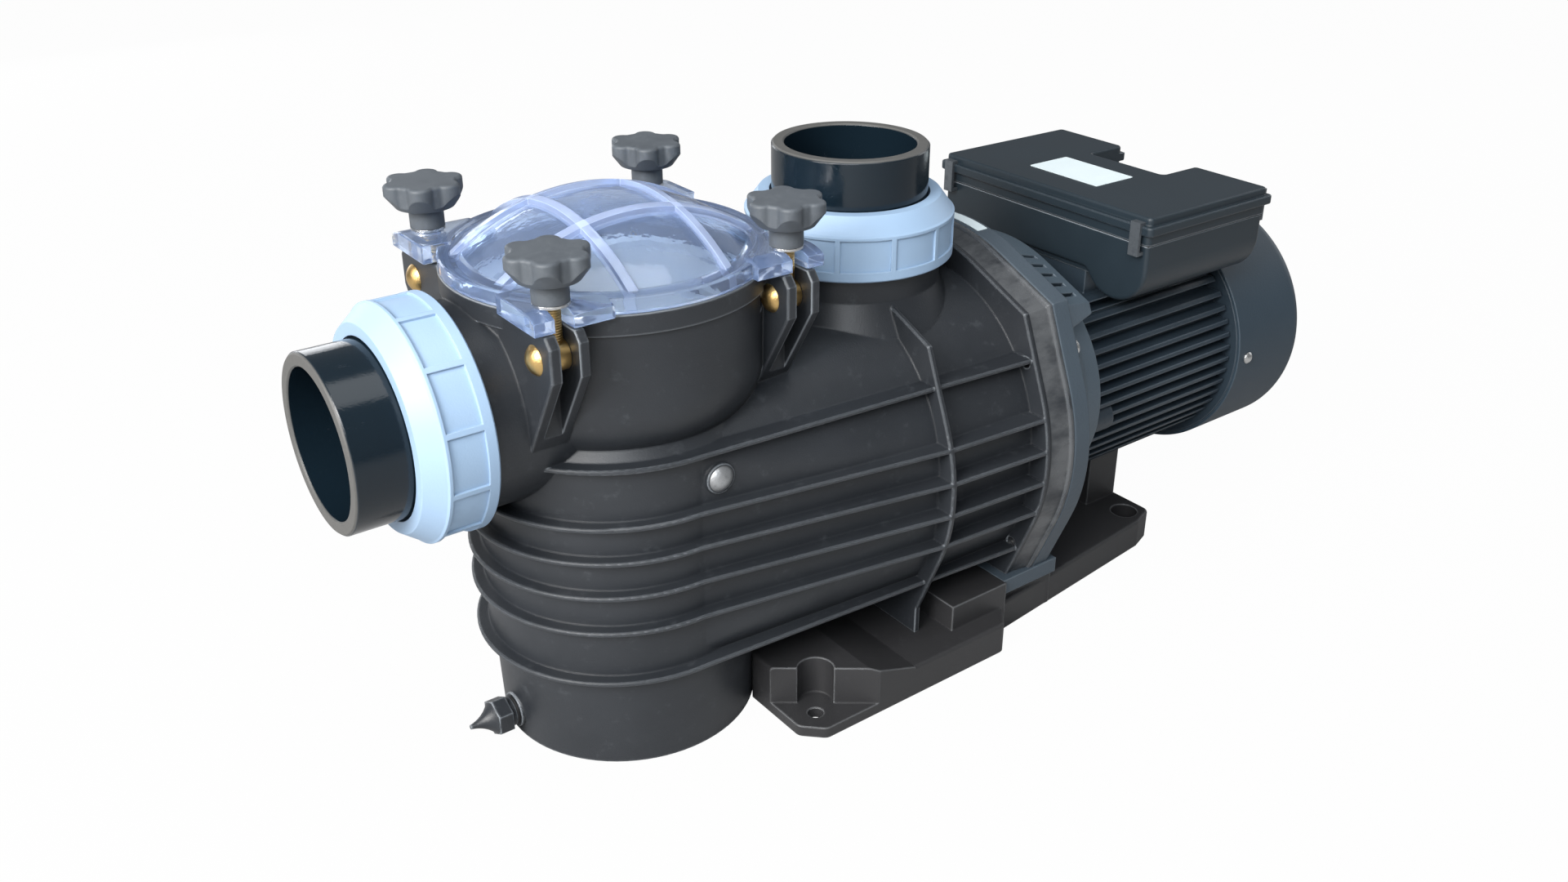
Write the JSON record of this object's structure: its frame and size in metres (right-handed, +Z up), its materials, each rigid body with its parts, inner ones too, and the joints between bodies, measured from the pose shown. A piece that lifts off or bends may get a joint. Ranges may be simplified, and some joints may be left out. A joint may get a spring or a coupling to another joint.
{
  "type": "pool pump",
  "caption": "Self-priming pool pump: clear strainer lid on swing bolts, two threaded pipe unions, finned electric motor with terminal box, on a moulded foot.",
  "frame": {"origin": "centre of the strainer pot's base, on the floor", "axes": "+X along the shaft from the strainer pot to the motor, +Z up along the discharge, +Y to the left of someone who looks from the pot to the motor"},
  "size_m": [0.8075, 0.287, 0.3622],
  "materials": {
    "body_plastic": "black moulded plastic, satin",
    "foot_plastic": "black moulded plastic, satin",
    "pipe_plastic": "black pipe plastic, glossy",
    "nut_plastic": "pale blue-grey plastic, satin",
    "clear_plastic": "clear moulded plastic, faint blue tint",
    "knob_plastic": "dark grey plastic, matte",
    "basket_plastic": "white plastic, satin",
    "inner_plastic": "dark grey plastic, satin",
    "brass": "turned brass, slightly dull",
    "steel": "stainless steel",
    "rubber": "black rubber",
    "ceramic": "ceramic seal ring",
    "motor_paint": "dark blue-grey paint on die-cast aluminium",
    "flange_paint": "dark grey paint on die-cast aluminium",
    "cowl_paint": "dark blue-grey paint on sheet steel",
    "laminations": "stacked steel sheet",
    "copper_wire": "varnished copper wire",
    "box_plastic": "black plastic, satin",
    "capacitor_can": "pale plastic can",
    "terminal_plastic": "pale plastic"
  },
  "bodies": {
    "body": {"pump_body": "body_plastic", "strainer_lid": "clear_plastic", "lid_seal": "rubber", "strainer_basket": "basket_plastic", "basket_handle": "basket_plastic", "pivot_pins": "brass", "suction_union_seal": "rubber", "discharge_union_seal": "rubber", "side_screw": "steel", "pump_foot": "foot_plastic", "foot_screws": "steel", "seal_plate": "inner_plastic", "body_seal": "rubber", "shaft_seal_seat": "ceramic", "diffuser": "inner_plastic", "motor_flange": "flange_paint", "flange_bolts": "steel", "front_end_shield": "motor_paint", "motor_frame": "motor_paint", "rear_end_shield": "motor_paint", "cowl_screws": "steel", "tie_rods": "steel", "stator_core": "laminations", "stator_windings": "copper_wire", "front_bearing": "steel", "rear_bearing": "steel", "fan_cowl": "cowl_paint", "terminal_box": "box_plastic", "capacitors": "capacitor_can", "terminal_box_lid": "box_plastic", "box_gasket_seal": "rubber", "box_lid_clips": "steel", "terminal_block": "terminal_plastic", "cable_gland": "inner_plastic"},
    "rotor": {"motor_shaft": "steel", "rotor_core": "laminations", "impeller": "inner_plastic", "shaft_seal_head": "steel", "cooling_fan": "inner_plastic"},
    "suction_pipe_end": {"suction_tailpiece": "pipe_plastic"},
    "suction_nut": {"suction_union_nut": "nut_plastic"},
    "discharge_pipe_end": {"discharge_tailpiece": "pipe_plastic"},
    "discharge_nut": {"discharge_union_nut": "nut_plastic"},
    "drain_washer": {"drain_seal": "rubber"},
    "drain_screw": {"drain_plug": "body_plastic"},
    "bolt_front_left": {"swing_bolt_front_left": "brass"},
    "washer_front_left": {"knob_washer_front_left": "steel"},
    "knob_front_left": {"lid_knob_front_left": "knob_plastic"},
    "bolt_front_right": {"swing_bolt_front_right": "brass"},
    "washer_front_right": {"knob_washer_front_right": "steel"},
    "knob_front_right": {"lid_knob_front_right": "knob_plastic"},
    "bolt_rear_left": {"swing_bolt_rear_left": "brass"},
    "washer_rear_left": {"knob_washer_rear_left": "steel"},
    "knob_rear_left": {"lid_knob_rear_left": "knob_plastic"},
    "bolt_rear_right": {"swing_bolt_rear_right": "brass"},
    "washer_rear_right": {"knob_washer_rear_right": "steel"},
    "knob_rear_right": {"lid_knob_rear_right": "knob_plastic"}
  },
  "joints": [
    {"name": "rotor_spin", "type": "hinge", "parent": "body", "child": "rotor", "pos_m": [0.3, 0, 0.146], "axis": [1, 0, 0], "continuous": true},
    {"name": "swing_front_left", "type": "hinge", "parent": "body", "child": "bolt_front_left", "pos_m": [-0.079, -0.079, 0.301], "axis": [1, 0, 0], "range_deg": [0, 100]},
    {"name": "lift_front_left", "type": "slide", "parent": "bolt_front_left", "child": "washer_front_left", "axis": [0, 0, 1], "range_m": [0, 0.018]},
    {"name": "turn_front_left", "type": "hinge", "parent": "washer_front_left", "child": "knob_front_left", "pos_m": [-0.079, -0.079, 0.333], "axis": [0, 0, 1], "range_deg": [0, 4320]},
    {"name": "swing_front_right", "type": "hinge", "parent": "body", "child": "bolt_front_right", "pos_m": [-0.079, 0.079, 0.301], "axis": [-1, 0, 0], "range_deg": [0, 100]},
    {"name": "lift_front_right", "type": "slide", "parent": "bolt_front_right", "child": "washer_front_right", "axis": [0, 0, 1], "range_m": [0, 0.018]},
    {"name": "turn_front_right", "type": "hinge", "parent": "washer_front_right", "child": "knob_front_right", "pos_m": [-0.079, 0.079, 0.333], "axis": [0, 0, 1], "range_deg": [0, 4320]},
    {"name": "swing_rear_left", "type": "hinge", "parent": "body", "child": "bolt_rear_left", "pos_m": [0.079, -0.079, 0.301], "axis": [1, 0, 0], "range_deg": [0, 100]},
    {"name": "lift_rear_left", "type": "slide", "parent": "bolt_rear_left", "child": "washer_rear_left", "axis": [0, 0, 1], "range_m": [0, 0.018]},
    {"name": "turn_rear_left", "type": "hinge", "parent": "washer_rear_left", "child": "knob_rear_left", "pos_m": [0.079, -0.079, 0.333], "axis": [0, 0, 1], "range_deg": [0, 4320]},
    {"name": "swing_rear_right", "type": "hinge", "parent": "body", "child": "bolt_rear_right", "pos_m": [0.079, 0.079, 0.301], "axis": [-1, 0, 0], "range_deg": [0, 100]},
    {"name": "lift_rear_right", "type": "slide", "parent": "bolt_rear_right", "child": "washer_rear_right", "axis": [0, 0, 1], "range_m": [0, 0.018]},
    {"name": "turn_rear_right", "type": "hinge", "parent": "washer_rear_right", "child": "knob_rear_right", "pos_m": [0.079, 0.079, 0.333], "axis": [0, 0, 1], "range_deg": [0, 4320]},
    {"name": "suction_pull", "type": "slide", "parent": "body", "child": "suction_pipe_end", "axis": [-1, 0, 0], "range_m": [0, 0.028]},
    {"name": "suction_unscrew", "type": "hinge", "parent": "suction_pipe_end", "child": "suction_nut", "pos_m": [-0.15, 0, 0.2469], "axis": [-1, 0, 0], "range_deg": [0, 1680]},
    {"name": "discharge_pull", "type": "slide", "parent": "body", "child": "discharge_pipe_end", "axis": [0, 0, 1], "range_m": [0, 0.028]},
    {"name": "discharge_unscrew", "type": "hinge", "parent": "discharge_pipe_end", "child": "discharge_nut", "pos_m": [0.1922, 0, 0.32], "axis": [0, 0, 1], "range_deg": [0, 1680]},
    {"name": "drain_draw", "type": "slide", "parent": "body", "child": "drain_washer", "axis": [-1, 0, 0], "range_m": [0, 0.0175]},
    {"name": "drain_unscrew", "type": "hinge", "parent": "drain_washer", "child": "drain_screw", "pos_m": [-0.095, 0, 0.017], "axis": [-1, 0, 0], "range_deg": [0, 3600]}
  ],
  "couplings": [
    {"joint": "lift_front_left", "follows": "turn_front_left", "m_per_rad": 0.00023873},
    {"joint": "lift_front_right", "follows": "turn_front_right", "m_per_rad": 0.00023873},
    {"joint": "lift_rear_left", "follows": "turn_rear_left", "m_per_rad": 0.00023873},
    {"joint": "lift_rear_right", "follows": "turn_rear_right", "m_per_rad": 0.00023873},
    {"joint": "suction_pull", "follows": "suction_unscrew", "m_per_rad": 0.0009549},
    {"joint": "discharge_pull", "follows": "discharge_unscrew", "m_per_rad": 0.0009549},
    {"joint": "drain_draw", "follows": "drain_unscrew", "m_per_rad": 0.0002785}
  ]
}
